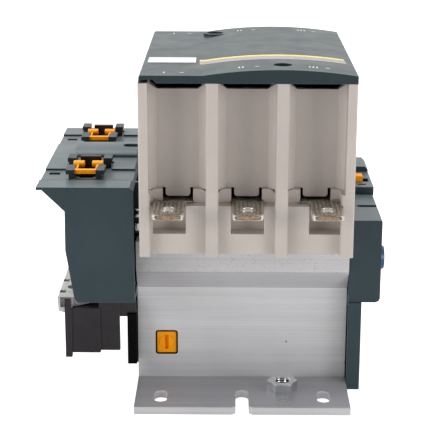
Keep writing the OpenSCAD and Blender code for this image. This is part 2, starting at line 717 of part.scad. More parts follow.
module wing_shell() difference() {
  union() {
    along_y(-wing_y, wing_y) polygon([
      [-97.5, wing_z], [-97.5, 109.7], [-94.9, 109.7], [-84.3, 99.3], [-84.5, 80.1],
      [-80.8, 56.1], [-79.4, 53.9], [-51.8, 53.9], [-51.8, 109.2], [-53.6, wing_z]
    ]);
    wing_rail();
  }
  along_y(-wing_y + wing_wall, wing_y - wing_wall) polygon([
    [-92.4, wing_z - wing_wall], [-82.1, 98.4], [-82.3, 80.2], [-78.8, 56.9], [-78.3, 56.1],
    [-51, 56.1], [-51, wing_z - wing_wall]
  ]);
  // Shallow strips that hold the clips
  block([-98, -50.4, strip_z], [-53, -28.5, wing_z + 0.01]);
  block([-98, 25.1, strip_z], [-53, 48, wing_z + 0.01]);
  for (y = [clip_y1, clip_y1 + clip_pitch]) {
    block([clip_x - 5.5, y - 9.3, wing_z - 4], [clip_x + 5.5, y + 16.9, wing_z + 5]);
    block([clip_x - 3.4, y - 14.6, wing_z - 4], [clip_x + 3.4, y - 9, wing_z]);
    block([clip_x - 11.2, y - 17.6, strip_z], [clip_x + 11.2, y + 18.6, wing_z + 5]);
  }
  // Locating slots
  block([-94.8, -37.2, wing_z - 1.1], [-89.5, -33, wing_z + 1]);
  block([-94.3, 37.6, wing_z - 1.1], [-89.1, 41.5, wing_z + 1]);
  block([-59, 3, wing_z + 0.4], [-52, 8, wing_z + 5]);
  translate([-59, 5.5, wing_z + 0.4]) cylinder(r = 2.5, h = 5);
  // Room for the ends of the frame and of the drive arm
  block([-53.2, -44.5, 50], [-50, 44.5, 79]);
  block([-57.6, -31.8, 50], [-50, 31.8, 76.3]);
}

// Hooked clip for an add-on auxiliary block, open in the middle for the driver
module aux_clip(y) color(black) translate([clip_x, y, strip_z]) difference() {
  union() {
    block([-8, -17.4, 0], [8, 18.4, 1]);
    for (x = sides) mirror([x > 0 ? 0 : 1, 0, 0]) {
      block([5.2, -16.6, 0], [7.8, -5.4, 5.2]);
      block([5.2, -16.6, 3.1], [9.2, -5.4, 5.2]);
      block([6.8, 8, 0], [9.4, 17.4, 5.2]);
      block([7.6, 8, 3.1], [11, 17.4, 5.2]);
      block([5.7, 9, 0], [10.4, 12.4, 3.6]);
    }
  }
  block([-5.5, -9.3, -1], [5.5, 16.9, 8]);
  block([-5.1, -14.8, -1], [5.1, -9, 1.7]);
}

module aux_clip_front() aux_clip(clip_y1);
module aux_clip_rear() aux_clip(clip_y1 + clip_pitch);

// Sprung latch: a cross bar and two fingers, sliding towards the rear
module aux_latch(y) color(orange) translate([clip_x, y, strip_z]) {
  block([-5.1, -15.5, 3.1], [5.1, -12.6, 5]);
  for (x = sides) mirror([x > 0 ? 0 : 1, 0, 0]) {
    block([4.3, -13, 3.1], [5.1, 2, 4.3]);
    translate([4.55, 1.4, 3.9]) rotate([0, 90, 0]) linear_extrude(5.3, center = true)
      offset(r = 1.2) square([0.4, 2.4], center = true);
  }
}

module aux_latch_front() aux_latch(clip_y1);
module aux_latch_rear() aux_latch(clip_y1 + clip_pitch);

// ---------------------------------------------------------------- right side

right_x0 = frame_len / 2 + 0.2;
right_x1 = 68.3;
right_z0 = 46.6;
right_z1 = 88.9;
right_z2 = 92.4;

module right_wing() color(green_grey) difference() {
  union() {
    along_y(-42, 64) polygon([
      [right_x0, right_z0], [right_x1 - 2.2, right_z0], [right_x1 - 0.6, right_z0 + 0.7], [right_x1, right_z0 + 2.2],
      [right_x1, right_z1 - 0.6], [right_x1 - 0.6, right_z1], [right_x0, right_z1]
    ]);
    block([right_x0, 9, right_z1 - 1], [right_x1 + 0.5, 64, right_z2]);
    along_y(42, 64) polygon([
      [right_x0, right_z2 - 1], [right_x1 + 0.5, right_z2 - 1], [right_x1 + 0.5, 93.6], [right_x1 - 1.1, 95.2], [right_x0, 95.2]
    ]);
  }
  block([right_x0 - 1, -39.8, right_z0 + 2.2], [right_x1 - 2.2, 61.8, right_z1 - 2.2]);
  block([right_x0 - 1, 11.2, right_z1 - 3], [right_x1 - 2.2, 61.8, right_z2 - 2.2]);
  // Groove in front of the step, and the oval opening before it
  block([right_x0 - 1, 6.7, right_z1 - 1.6], [right_x1 + 1, 9, right_z1 + 5]);
  hull() for (x = [59.6, 70]) translate([x, -15.3, right_z1 - 5]) cylinder(r = 1.9, h = 8, $fn = 32);
  // Slot of the latch, and a locating slot
  block([57.3, 20.2, right_z1 - 2], [67.3, 27.2, right_z2 + 1]);
  block([61.2, 13.6, right_z2 - 1.4], [65.3, 15.6, right_z2 + 1]);
  // Seat of the side cap
  translate([right_x1 - 4, cap_y, cap_z]) rotate([0, 90, 0]) cylinder(r = 3, h = 6);
}

// Sprung latch that slides outwards in its slot
module right_latch() color(orange) {
  block([57.5, 20.4, right_z2 - 3.4], [64, 27, right_z2 + 2.9]);
  block([56, 19, right_z2 - 4.6], [62.8, 28.4, right_z2 - 2.5]);
}

cap_y = -31;
cap_z = 66.8;

module side_cap() color([0.12, 0.32, 0.52]) translate([right_x1, cap_y, cap_z]) rotate([0, 90, 0]) {
  cylinder(r1 = 6.6, r2 = 5.6, h = 2.2);
  translate([0, 0, -3]) cylinder(r = 2.97, h = 3.1);
}

// ---------------------------------------------------------------- all nodes

magnet_frame();
earth_nut();
magnet_lock_bezel();
magnet_lock_cam();
core_cushions();
fixed_core();
shading_rings();
coil_bobbin();
coil_winding();
coil_leads();
coil_terminal_block();
coil_terminal_screws();
left_end_cover();
channel_end_plate();
right_end_cover();
lower_housing();
frame_screws();
line_terminal_1();
line_terminal_2();
line_terminal_3();
load_terminal_1();
load_terminal_2();
load_terminal_3();
fixed_contact_tips();
arc_chute_housing();
chute_screws();
arc_splitters_1();
arc_splitters_2();
arc_splitters_3();
front_cover();
cover_screws();
return_springs();
contact_carrier();
armature();
armature_pin();
contact_springs();
contact_bridge_1();
contact_bridge_2();
contact_bridge_3();
moving_contact_tips();
aux_drive_yoke();
aux_driver_front();
aux_driver_rear();
left_wing();
aux_clip_front();
aux_clip_rear();
aux_latch_front();
aux_latch_rear();
right_wing();
right_latch();
side_cap();
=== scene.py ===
"""Looks of a three-pole power contactor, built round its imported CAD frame. Lengths are in metres."""

import json
import math

import bpy
from mathutils import Matrix, Vector


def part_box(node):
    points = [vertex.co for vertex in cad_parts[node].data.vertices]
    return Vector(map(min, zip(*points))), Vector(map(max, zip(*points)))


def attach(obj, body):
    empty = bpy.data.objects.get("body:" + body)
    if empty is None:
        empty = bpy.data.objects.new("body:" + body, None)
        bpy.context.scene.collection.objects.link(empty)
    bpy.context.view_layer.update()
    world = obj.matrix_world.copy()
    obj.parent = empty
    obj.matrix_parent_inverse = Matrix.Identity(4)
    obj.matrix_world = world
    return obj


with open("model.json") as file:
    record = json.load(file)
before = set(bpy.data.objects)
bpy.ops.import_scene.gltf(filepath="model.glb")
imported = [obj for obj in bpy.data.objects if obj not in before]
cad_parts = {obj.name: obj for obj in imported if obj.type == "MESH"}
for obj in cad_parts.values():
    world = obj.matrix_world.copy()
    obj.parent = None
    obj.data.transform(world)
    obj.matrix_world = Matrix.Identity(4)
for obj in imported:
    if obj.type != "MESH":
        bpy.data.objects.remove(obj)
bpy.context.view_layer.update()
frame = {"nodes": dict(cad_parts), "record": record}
NODES = frame["nodes"]
MM = 0.001

# Places on the CAD solids, in millimetres
PLATE_TOP = 3.8  # upper face of the feet
PLATE_FACE_Y = -35.0  # outer face of the frame's line-side wall
SLANT_TOP = 62.0  # where the frame's slanted stretch ends
FOOT_SLOTS = (-40.0, 40.0)  # X of the foot slots
FOOT_SLOT_Y = 60.5
FOOT_SLOT_RADIUS, FOOT_SLOT_REACH = 3.25, 3.55
NUT_X, NUT_Y = 20.1, -51.3
PADS = (-35.1, 1.9, 38.9)  # X of the terminal pads
PAD_PITCH = 37.0
PAD_TOP = 102.9  # crests of the ribs
PAD_VALLEY = 102.2  # floor between the ribs
PAD_MIDDLE_Z = 101.3
PAD_END_Y = 81.0
PAD_HOLE_Y = 72.0
PAD_HOLE_RADIUS = 3.25
COVER_FLAT_Z = 164.8  # the cover's flat part
CROWN = (-19.0, 51.9)  # X where its crown starts and ends
CROWN_RISE = 2.8
BLOCK_TOP = 49.2  # upper face of the coil terminal block


# ------------------------------------------------------------------ shader helpers


class Shader:
    """A node material with a few short calls for wiring it."""

    def __init__(self, name):
        self.material = bpy.data.materials.new(name)
        self.material.use_nodes = True
        self.tree = self.material.node_tree
        self.bsdf = self.tree.nodes["Principled BSDF"]
        self.position = self.add("ShaderNodeTexCoord").outputs["Object"]

    def add(self, kind, **values):
        node = self.tree.nodes.new(kind)
        for key, value in values.items():
            setattr(node, key, value)
        return node

    def link(self, source, target):
        self.tree.links.new(source, target)

    def stretched(self, scale):
        """Object position times a scale per axis."""
        mapping = self.add("ShaderNodeMapping")
        mapping.inputs["Scale"].default_value = scale
        self.link(self.position, mapping.inputs["Vector"])
        return mapping.outputs["Vector"]

    def noise(self, scale, detail=3.0, rough=0.5, stretch=(1, 1, 1)):
        node = self.add("ShaderNodeTexNoise")
        node.inputs["Scale"].default_value = scale
        node.inputs["Detail"].default_value = detail
        node.inputs["Roughness"].default_value = rough
        self.link(self.stretched(stretch), node.inputs["Vector"])
        return node.outputs["Fac"]

    def spots(self, scale, stretch=(1, 1, 1)):
        """Distance to the nearest of many scattered points."""
        node = self.add("ShaderNodeTexVoronoi")
        node.inputs["Scale"].default_value = scale
        self.link(self.stretched(stretch), node.inputs["Vector"])
        return node.outputs["Distance"]

    def axis(self, index):
        node = self.add("ShaderNodeSeparateXYZ")
        self.link(self.position, node.inputs["Vector"])
        return node.outputs[index]

    def remap(self, source, low, high, to_low=0.0, to_high=1.0):
        node = self.add("ShaderNodeMapRange")
        for key, value in zip(("From Min", "From Max", "To Min", "To Max"), (low, high, to_low, to_high)):
            node.inputs[key].default_value = value
        self.link(source, node.inputs["Value"])
        return node.outputs["Result"]

    def math(self, operation, *values):
        node = self.add("ShaderNodeMath", operation=operation)
        for socket, value in zip(node.inputs, values):
            if isinstance(value, (int, float)):
                socket.default_value = value
            else:
                self.link(value, socket)
        return node.outputs[0]

    def mix(self, factor, first, second):
        """Colour mix; each colour is a tuple or a socket."""
        node = self.add("ShaderNodeMix", data_type="RGBA")
        self.link(factor, node.inputs["Factor"])
        for socket, value in zip((node.inputs[6], node.inputs[7]), (first, second)):
            if isinstance(value, tuple):
                socket.default_value = (*value, 1.0)
            else:
                self.link(value, socket)
        return node.outputs[2]

    def bump(self, height, strength, distance, under=None):
        node = self.add("ShaderNodeBump")
        node.inputs["Strength"].default_value = strength
        node.inputs["Distance"].default_value = distance
        self.link(height, node.inputs["Height"])
        if under is not None:
            self.link(under, node.inputs["Normal"])
        return node.outputs["Normal"]

    def soft_edges(self, radius_mm):
        """Normals that turn smoothly across each sharp edge, as a moulded or tumbled edge does."""
        node = self.add("ShaderNodeBevel", samples=6)
        node.inputs["Radius"].default_value = radius_mm * MM
        return node.outputs["Normal"]

    def edge_highlight_mask(self, soft_normal):
        """Mask for painted edge highlights: 1 along outer edges, 0 on flats and in inner corners."""
        bend = self.add("ShaderNodeVectorMath", operation="DOT_PRODUCT")
        self.link(soft_normal, bend.inputs[0])
        self.link(self.add("ShaderNodeNewGeometry").outputs["Normal"], bend.inputs[1])
        bent = self.remap(bend.outputs["Value"], 0.995, 0.88)
        return self.math("MULTIPLY", bent, self.open_air(1.5, 0.62, 0.9))

    def looks_up(self, low=0.55, high=0.9):
        """1 on faces that look up."""
        parts = self.add("ShaderNodeSeparateXYZ")
        self.link(self.add("ShaderNodeNewGeometry").outputs["Normal"], parts.inputs["Vector"])
        return self.remap(parts.outputs[2], low, high)

    def open_air(self, reach_mm, low, high):
        """1 in the open, 0 in corners closer together than the reach."""
        node = self.add("ShaderNodeAmbientOcclusion", samples=6)
        node.inputs["Distance"].default_value = reach_mm * MM
        return self.remap(node.outputs["AO"], low, high)

    def finish(self, colour, rough, normal=None, **constants):
        self.link(colour, self.bsdf.inputs["Base Color"])
        self.link(rough, self.bsdf.inputs["Roughness"])
        if normal is not None:
            self.link(normal, self.bsdf.inputs["Normal"])
        for name, value in constants.items():
            self.bsdf.inputs[name.replace("_", " ")].default_value = value
        return self.material


def plastic(name, light, dark, rough=(0.38, 0.52), edge_mm=0.35, specular=0.5, highlight_colour=None, top_light_colour=None):
    """Moulded plastic: fine spark-eroded grain, flow mottling, painted highlights along the outer edges and
    painted light on faces that look up.
    """
    s = Shader(name)
    mottle = s.noise(38, 4, 0.6)
    fine = s.noise(900, 3, 0.6)
    tone = s.math("ADD", s.math("MULTIPLY", mottle, 0.75), s.math("MULTIPLY", fine, 0.25))
    colour = s.mix(s.remap(tone, 0.35, 0.65), dark, light)
    soft = s.soft_edges(edge_mm)
    # Painted light: faces that look up take a paler colour
    if top_light_colour:
        colour = s.mix(s.looks_up(), colour, top_light_colour)
    # Painted highlight: outer edges turn paler, in patches
    if highlight_colour:
        patchy = s.remap(s.noise(240, 4, 0.65), 0.3, 0.7, 0.35, 1.0)
        colour = s.mix(s.math("MULTIPLY", s.edge_highlight_mask(soft), patchy), colour, highlight_colour)
    roughness = s.remap(s.noise(60, 5, 0.65), 0.3, 0.7, *rough)
    grain_bump = s.bump(s.noise(3200, 2, 0.5), 0.25, 0.06 * MM, under=soft)
    normal = s.bump(s.noise(90, 2, 0.5), 0.12, 0.4 * MM, under=grain_bump)
    return s.finish(colour, roughness, normal, Specular_IOR_Level=specular)


def extruded_aluminium():
    """Mill finish: long drawing lines along X, dull patches and dark pits."""
    s = Shader("extruded_aluminium")
    lines = s.noise(1, 6, 0.75, stretch=(5, 2200, 2200))
    broad = s.noise(1, 3, 0.5, stretch=(6, 260, 260))
    patch = s.noise(30, 5, 0.6)
    tone = s.math("ADD", s.math("MULTIPLY", lines, 0.6),
                  s.math("ADD", s.math("MULTIPLY", broad, 0.2), s.math("MULTIPLY", patch, 0.2)))
    tone = s.remap(tone, 0.36, 0.64)
    base = s.mix(tone, (0.52, 0.512, 0.525), (0.72, 0.71, 0.72))
    # Painted shade: faces that look up take a darker tone
    base = s.mix(s.looks_up(), base, s.mix(tone, (0.37, 0.375, 0.40), (0.53, 0.53, 0.56)))
    # The wall above the slant is darkened a little and peppered with fine pits
    pit_colour = (0.10, 0.09, 0.085)
    above = s.remap(s.axis(2), (SLANT_TOP - 0.5) * MM, (SLANT_TOP + 0.5) * MM)
    base = s.mix(s.math("MULTIPLY", above, 0.06), base, pit_colour)
    pits = s.remap(s.spots(95), 0.035, 0.06, 1.0, 0.0)
    keep = s.remap(s.noise(40, 1, 0.5), 0.5, 0.56)
    specks = s.remap(s.spots(900), 0.12, 0.2, 1.0, 0.0)
    pepper = s.math("MULTIPLY", specks, s.remap(s.noise(300, 2, 0.5), 0.45, 0.55))
    dark = s.math("MAXIMUM", s.math("MULTIPLY", pits, keep), s.math("MULTIPLY", pepper, above))
    colour = s.mix(dark, base, pit_colour)
    soft = s.soft_edges(0.25)
    # Painted highlight: outer edges turn paler
    colour = s.mix(s.math("MULTIPLY", s.edge_highlight_mask(soft), 0.6), colour, (0.80, 0.80, 0.81))
    dull = s.math("ADD", s.math("MULTIPLY", patch, 0.6), s.math("MULTIPLY", lines, 0.4))
    rough = s.remap(dull, 0.35, 0.65, 0.36, 0.54)
    normal = s.bump(lines, 0.2, 0.03 * MM, under=soft)
    normal = s.bump(dark, 0.4, -0.12 * MM, under=normal)
    return s.finish(colour, rough, normal, Metallic=0.4)


def plated_steel(name, light=(0.62, 0.61, 0.60), dark=(0.40, 0.40, 0.41), rough=(0.22, 0.4)):
    """Zinc plate: bright, slightly cloudy, with a fine grain."""
    s = Shader(name)
    cloud = s.noise(160, 4, 0.6)
    colour = s.mix(s.remap(cloud, 0.35, 0.65), dark, light)
    roughness = s.remap(s.noise(420, 3, 0.6), 0.3, 0.7, *rough)
    normal = s.bump(s.noise(1600, 2, 0.5), 0.18, 0.04 * MM, under=s.soft_edges(0.2))
    return s.finish(colour, roughness, normal, Metallic=1.0)


def nut_steel():
    """Zinc plate whose bore carries the turns of an M8 thread."""
    s = Shader("nut_steel")
    cloud = s.noise(90, 3, 0.5)
    plate = s.mix(s.remap(cloud, 0.3, 0.7), (0.80, 0.83, 0.84), (0.93, 0.95, 0.95))
    thread_pitch, bore_radius = 1.25, 3.45
    off_x = s.math("SUBTRACT", s.axis(0), NUT_X * MM)
    off_y = s.math("SUBTRACT", s.axis(1), NUT_Y * MM)
    radius = s.math("SQRT", s.math("ADD", s.math("POWER", off_x, 2.0), s.math("POWER", off_y, 2.0)))
    in_bore = s.remap(radius, bore_radius * MM, (bore_radius + 0.15) * MM, 1.0, 0.0)
    turn = s.math("DIVIDE", s.math("ARCTAN2", off_y, off_x), 2 * math.pi)
    wave = s.math("PINGPONG", s.math("ADD", s.math("DIVIDE", s.axis(2), thread_pitch * MM), turn), 0.5)
    flank = s.math("MULTIPLY", wave, in_bore)
    # Painted shade in the bore: it is darkened, with a dark and a light band on the flanks of each turn
    shaded = s.mix(s.remap(wave, 0.1, 0.4), (0.10, 0.10, 0.105), (0.62, 0.62, 0.62))
    colour = s.mix(in_bore, plate, shaded)
    rough = s.remap(s.noise(260, 2, 0.5), 0.3, 0.7, 0.13, 0.20)
    normal = s.bump(flank, 1.0, 0.6 * MM, under=s.soft_edges(0.25))
    return s.finish(colour, rough, normal, Metallic=1.0)


def tinned_copper():
    """Tin plate with rolled streaks along Y; the sheared end of each pad shows an oval of copper."""
    s = Shader("tinned_copper")
    streak = s.noise(1, 3, 0.5, stretch=(1500, 90, 1500))
    cloud = s.noise(260, 3, 0.5)
    tin = s.mix(s.remap(cloud, 0.3, 0.7), (0.50, 0.47, 0.42), (0.78, 0.74, 0.67))
    # Painted shade darkens the valleys between the ribs of a pad
    above_valley = s.remap(s.axis(2), (PAD_VALLEY - 0.2) * MM, PAD_VALLEY * MM)
    ridge = s.remap(s.axis(2), (PAD_TOP - 0.45) * MM, PAD_TOP * MM)
    valley = s.math("MULTIPLY", above_valley, s.math("SUBTRACT", 1.0, ridge))
    tin = s.mix(valley, tin, (0.52, 0.48, 0.42))
    oval_half_width, oval_half_height = 6.6, 1.05
    half_pitch = PAD_PITCH / 2 * MM
    across = s.math("WRAP", s.math("SUBTRACT", s.axis(0), PADS[1] * MM), half_pitch, -half_pitch)
    up = s.math("SUBTRACT", s.axis(2), PAD_MIDDLE_Z * MM)
    oval = s.math("ADD", s.math("POWER", s.math("DIVIDE", across, oval_half_width * MM), 2.0),
                  s.math("POWER", s.math("DIVIDE", up, oval_half_height * MM), 2.0))
    ragged = s.math("ADD", oval, s.remap(s.noise(900, 3, 0.6), 0.3, 0.7, -0.25, 0.25))
    at_end = s.remap(s.math("ABSOLUTE", s.axis(1)), (PAD_END_Y - 0.3) * MM, (PAD_END_Y - 0.1) * MM)
    bare = s.mix(s.remap(s.noise(700, 3, 0.6), 0.35, 0.65), (0.26, 0.17, 0.11), (0.50, 0.34, 0.23))
    inside = s.math("MULTIPLY", at_end, s.remap(ragged, 0.9, 1.05, 1.0, 0.0))
    sheared = s.mix(s.remap(s.noise(1100, 3, 0.6), 0.35, 0.65), (0.24, 0.22, 0.19), (0.66, 0.62, 0.56))
    tin = s.mix(at_end, tin, sheared)
    colour = s.mix(inside, tin, bare)
    ring = s.math("MULTIPLY", s.remap(ragged, 0.62, 0.8), s.remap(ragged, 1.0, 1.15, 1.0, 0.0))
    colour = s.mix(s.math("MULTIPLY", at_end, ring), colour, (0.13, 0.08, 0.05))
    rough = s.remap(streak, 0.3, 0.7, 0.26, 0.44)
    normal = s.bump(streak, 0.2, 0.05 * MM, under=s.soft_edges(0.2))
    return s.finish(colour, rough, normal, Metallic=0.9)


def bare_copper():
    s = Shader("copper")
    cloud = s.noise(120, 5, 0.65)
    colour = s.mix(s.remap(cloud, 0.35, 0.65), (0.48, 0.22, 0.13), (0.78, 0.45, 0.31))
    rough = s.remap(s.noise(500, 3, 0.6), 0.3, 0.7, 0.22, 0.42)
    return s.finish(colour, rough, s.bump(s.noise(1400, 2, 0.5), 0.2, 0.05 * MM), Metallic=1.0)


def laminated_steel():
    """Stacked sheets: one dark joint line every half millimetre along Y."""
    s = Shader("core_steel")
    wave = s.add("ShaderNodeTexWave", wave_type="BANDS", bands_direction="Y")
    wave.inputs["Scale"].default_value = 620
    wave.inputs["Distortion"].default_value = 0.3
    s.link(s.position, wave.inputs["Vector"])
    sheet = wave.outputs["Fac"]
    rust = s.noise(90, 5, 0.65)
    metal = s.mix(s.remap(rust, 0.4, 0.7), (0.36, 0.36, 0.37), (0.26, 0.20, 0.16))
    colour = s.mix(s.remap(sheet, 0.1, 0.5), (0.08, 0.08, 0.085), metal)
    rough = s.remap(rust, 0.3, 0.7, 0.32, 0.6)
    return s.finish(colour, rough, s.bump(sheet, 0.4, 0.1 * MM), Metallic=0.9)


def coil_tape():
    """Varnished enamelled wire: turns show as fine ridges round the coil."""
    s = Shader("winding_tape")
    wave = s.add("ShaderNodeTexWave", wave_type="BANDS", bands_direction="Z")
    wave.inputs["Scale"].default_value = 700
    wave.inputs["Distortion"].default_value = 0.8
    s.link(s.position, wave.inputs["Vector"])
    ridge = wave.outputs["Fac"]
    colour = s.mix(ridge, (0.16, 0.05, 0.02), (0.50, 0.22, 0.09))
    rough = s.remap(s.noise(200, 3, 0.6), 0.3, 0.7, 0.25, 0.4)
    return s.finish(colour, rough, s.bump(ridge, 0.5, 0.2 * MM), Coat_Weight=0.3)


def rubber():
    s = Shader("black_rubber")
    colour = s.mix(s.remap(s.noise(200, 3, 0.6), 0.3, 0.7), (0.02, 0.02, 0.02), (0.05, 0.05, 0.05))
    rough = s.remap(s.noise(300, 3, 0.6), 0.3, 0.7, 0.7, 0.9)
    return s.finish(colour, rough, s.bump(s.noise(1500, 2, 0.5), 0.4, 0.1 * MM))


def printed(name, light, dark):
    """Ink or a printed label film."""
    s = Shader(name)
    colour = s.mix(s.remap(s.noise(700, 4, 0.6), 0.35, 0.65), dark, light)
    rough = s.remap(s.noise(200, 3, 0.6), 0.3, 0.7, 0.35, 0.5)
    return s.finish(colour, rough, s.bump(s.noise(2500, 2, 0.5), 0.1, 0.03 * MM))


# Plastics: the colour given for outer edges is a painted highlight, and the green-grey plastic's colour for
# upward faces is painted light
MATERIALS = {
    "extruded_aluminium": extruded_aluminium(),
    "zinc_steel": plated_steel("zinc_steel"),
    "spring_steel": plated_steel("spring_steel", (0.5, 0.5, 0.5), (0.3, 0.3, 0.31)),
    "nut_steel": nut_steel(),
    "core_steel": laminated_steel(),
    "copper": bare_copper(),
    "winding_tape": coil_tape(),
    "tinned_copper": tinned_copper(),
    "silver_contact": plated_steel("silver_contact", (0.85, 0.84, 0.81), (0.62, 0.61, 0.58)),
    "black_rubber": rubber(),
    "light_grey_plastic": plastic("light_grey_plastic", (0.57, 0.512, 0.474), (0.515, 0.46, 0.426),
                                  specular=0.4, highlight_colour=(0.74, 0.70, 0.67)),
    "white_plastic": plastic("white_plastic", (0.62, 0.61, 0.60), (0.57, 0.56, 0.55), specular=0.3,
                             highlight_colour=(0.88, 0.87, 0.86)),
    "green_grey_plastic": plastic("green_grey_plastic", (0.026, 0.048, 0.058), (0.020, 0.038, 0.046),
                                  rough=(0.30, 0.42), specular=0.35, highlight_colour=(0.09, 0.12, 0.13),
                                  top_light_colour=(0.085, 0.112, 0.120)),
    "cover_plastic": plastic("cover_plastic", (0.018, 0.036, 0.041), (0.014, 0.029, 0.033),
                             rough=(0.30, 0.42), specular=0.35, highlight_colour=(0.09, 0.12, 0.13)),
    # Painted highlight for the step along the left wing's front edge
    "pale_edge": plastic("pale_edge", (0.11, 0.14, 0.15), (0.09, 0.12, 0.13), specular=0.35),
    "clip_plastic": plastic("clip_plastic", (0.016, 0.029, 0.035), (0.012, 0.023, 0.028), rough=(0.34, 0.46),
                            edge_mm=0.5, specular=0.35, highlight_colour=(0.06, 0.08, 0.09)),
    "black_plastic": plastic("black_plastic", (0.026, 0.022, 0.025), (0.015, 0.013, 0.015), specular=0.3,
                             highlight_colour=(0.16, 0.15, 0.16)),
    "brown_recess": plastic("brown_recess", (0.16, 0.075, 0.03), (0.10, 0.045, 0.02), specular=0.2),
    # Near-black plastic for sheets and parts standing for shade in gaps, slots and recesses: painted shade
    "shaded_plastic": plastic("shaded_plastic", (0.004, 0.003, 0.003), (0.002, 0.002, 0.002),
                              rough=(0.7, 0.85), specular=0.05),
    "dark_brown_plastic": plastic("dark_brown_plastic", (0.022, 0.010, 0.008), (0.014, 0.007, 0.006)),
    "phenolic_brown": plastic("phenolic_brown", (0.12, 0.04, 0.025), (0.08, 0.028, 0.018)),
    "orange_plastic": plastic("orange_plastic", (1.0, 0.37, 0.002), (0.92, 0.30, 0.001),
                              rough=(0.34, 0.46), specular=0.12),
    "blue_plastic": plastic("blue_plastic", (0.02, 0.09, 0.20), (0.012, 0.06, 0.15), rough=(0.25, 0.4)),
    "bright_tin": plated_steel("bright_tin", (0.95, 0.94, 0.92), (0.80, 0.78, 0.74), rough=(0.12, 0.25)),
    "bright_alloy": plated_steel("bright_alloy", (0.78, 0.78, 0.78), (0.62, 0.62, 0.62), rough=(0.25, 0.4)),
    "white_print": printed("white_print", (0.80, 0.81, 0.81), (0.72, 0.73, 0.73)),
    "yellow_print": printed("yellow_print", (0.90, 0.66, 0.10), (0.82, 0.58, 0.08)),
    "grey_print": printed("grey_print", (0.34, 0.31, 0.31), (0.29, 0.265, 0.265)),
}


# ------------------------------------------------------------------ CAD nodes

SMOOTH_BELOW = math.radians(24)


def refine(obj):
    """Joins the loaded triangles, shades curves smoothly and keeps true edges crisp."""
    mesh = obj.data
    if "custom_normal" in mesh.attributes:
        mesh.attributes.remove(mesh.attributes["custom_normal"])
    for polygon in mesh.polygons:
        polygon.use_smooth = True
    weld = obj.modifiers.new("weld", "WELD")
    weld.merge_threshold = 0.002 * MM
    split = obj.modifiers.new("split", "EDGE_SPLIT")
    split.split_angle = SMOOTH_BELOW
    normals = obj.modifiers.new("normals", "WEIGHTED_NORMAL")
    normals.weight = 90


# Nodes with a look of their own; the others take their record slot's
LOOKS = {
    "earth_nut": "nut_steel",
    # Painted shade: the recessed end plate is coloured near-black, as it lies in shade
    "channel_end_plate": "shaded_plastic",
    "coil_terminal_block": "white_plastic",
    "front_cover": "cover_plastic",
    "aux_clip_front": "clip_plastic",
    "aux_clip_rear": "clip_plastic",
}

slots = {row["node"]: row["material_slot"] for row in frame["record"]["subparts"]}
for node_name, node_object in NODES.items():
    node_object.data.materials.clear()
    node_object.data.materials.append(MATERIALS[LOOKS.get(node_name, slots[node_name])])
    refine(node_object)


# ------------------------------------------------------------------ added pieces


def piece(name, vertices, faces, look, body="root", smooth=0):
    """A new mesh from millimetre vertices, riding with a body."""
    mesh = bpy.data.meshes.new(name)
    mesh.from_pydata([(x * MM, y * MM, z * MM) for x, y, z in vertices], [], faces)
    mesh.validate()
    mesh.update()
    mesh.materials.append(MATERIALS[look])
    obj = bpy.data.objects.new(name, mesh)
    bpy.context.scene.collection.objects.link(obj)
    if smooth:
        for polygon in mesh.polygons:
            polygon.use_smooth = True
        normals = obj.modifiers.new("normals", "WEIGHTED_NORMAL")
        normals.weight = smooth
    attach(obj, body)
    return obj


def join_parts(parts):
    """Merges (vertices, faces) pairs into one."""
    vertices, faces = [], []
    for part_vertices, part_faces in parts:
        start = len(vertices)
        vertices.extend(part_vertices)
        faces.extend([tuple(start + index for index in face) for face in part_faces])
    return vertices, faces


def stadium(x, y, radius, reach, count=40):
    """Points and outward normals round a slot of half width radius whose centres lie +-reach along Y."""
    points = []
    for i in range(count):
        angle = 2 * math.pi * i / count
        normal = (math.cos(angle), math.sin(angle))
        shift = reach if normal[1] > 1e-9 else -reach
        points.append((x + radius * normal[0], y + shift + radius * normal[1], *normal))
    return points


def moulding(outline, profile):
    """Sweeps a closed profile of (offset, height) pairs round a closed outline."""
    rows = len(profile)
    vertices = [(x + nx * offset, y + ny * offset, height)
                for x, y, nx, ny in outline for offset, height in profile]
    faces = []
    for i in range(len(outline)):
        j = (i + 1) % len(outline)
        for k in range(rows):
            m = (k + 1) % rows
            faces.append((i * rows + k, j * rows + k, j * rows + m, i * rows + m))
    return vertices, faces


def strip(path, y0, y1, lift, thick=0.08):
    """A thin printed strip from y0 to y1 along a path of (x, z) points."""
    vertices, faces = [], []
    for x, z in path:
        top, under = z + lift, z + lift - thick
        vertices += [(x, y0, top), (x, y1, top), (x, y1, under), (x, y0, under)]
    for i in range(len(path) - 1):
        for k in range(4):
            m = (k + 1) % 4
            faces.append((i * 4 + k, i * 4 + m, i * 4 + 4 + m, i * 4 + 4 + k))
    last = (len(path) - 1) * 4
    faces += [(3, 2, 1, 0), (last, last + 1, last + 2, last + 3)]
    return vertices, faces


def cover_height(x):
    """Height of the cover's top at x: flat, then the crown."""
    start, end = CROWN
    if x <= start:
        return COVER_FLAT_Z
    half = (end - start) / 2
    radius = (half * half + CROWN_RISE * CROWN_RISE) / (2 * CROWN_RISE)
    return COVER_FLAT_Z + math.sqrt(radius * radius - (x - (start + end) / 2) ** 2) - radius + CROWN_RISE


def printed_rect(x0, x1, y0, y1, lift=0.05):
    """Print on the cover's top, with a bend every 2 mm so that it follows the crown."""
    count = max(1, round((x1 - x0) / 2.0))
    places = [x0 + (x1 - x0) * i / count for i in range(count + 1)]
    return strip([(x, cover_height(x)) for x in places], y0, y1, lift)


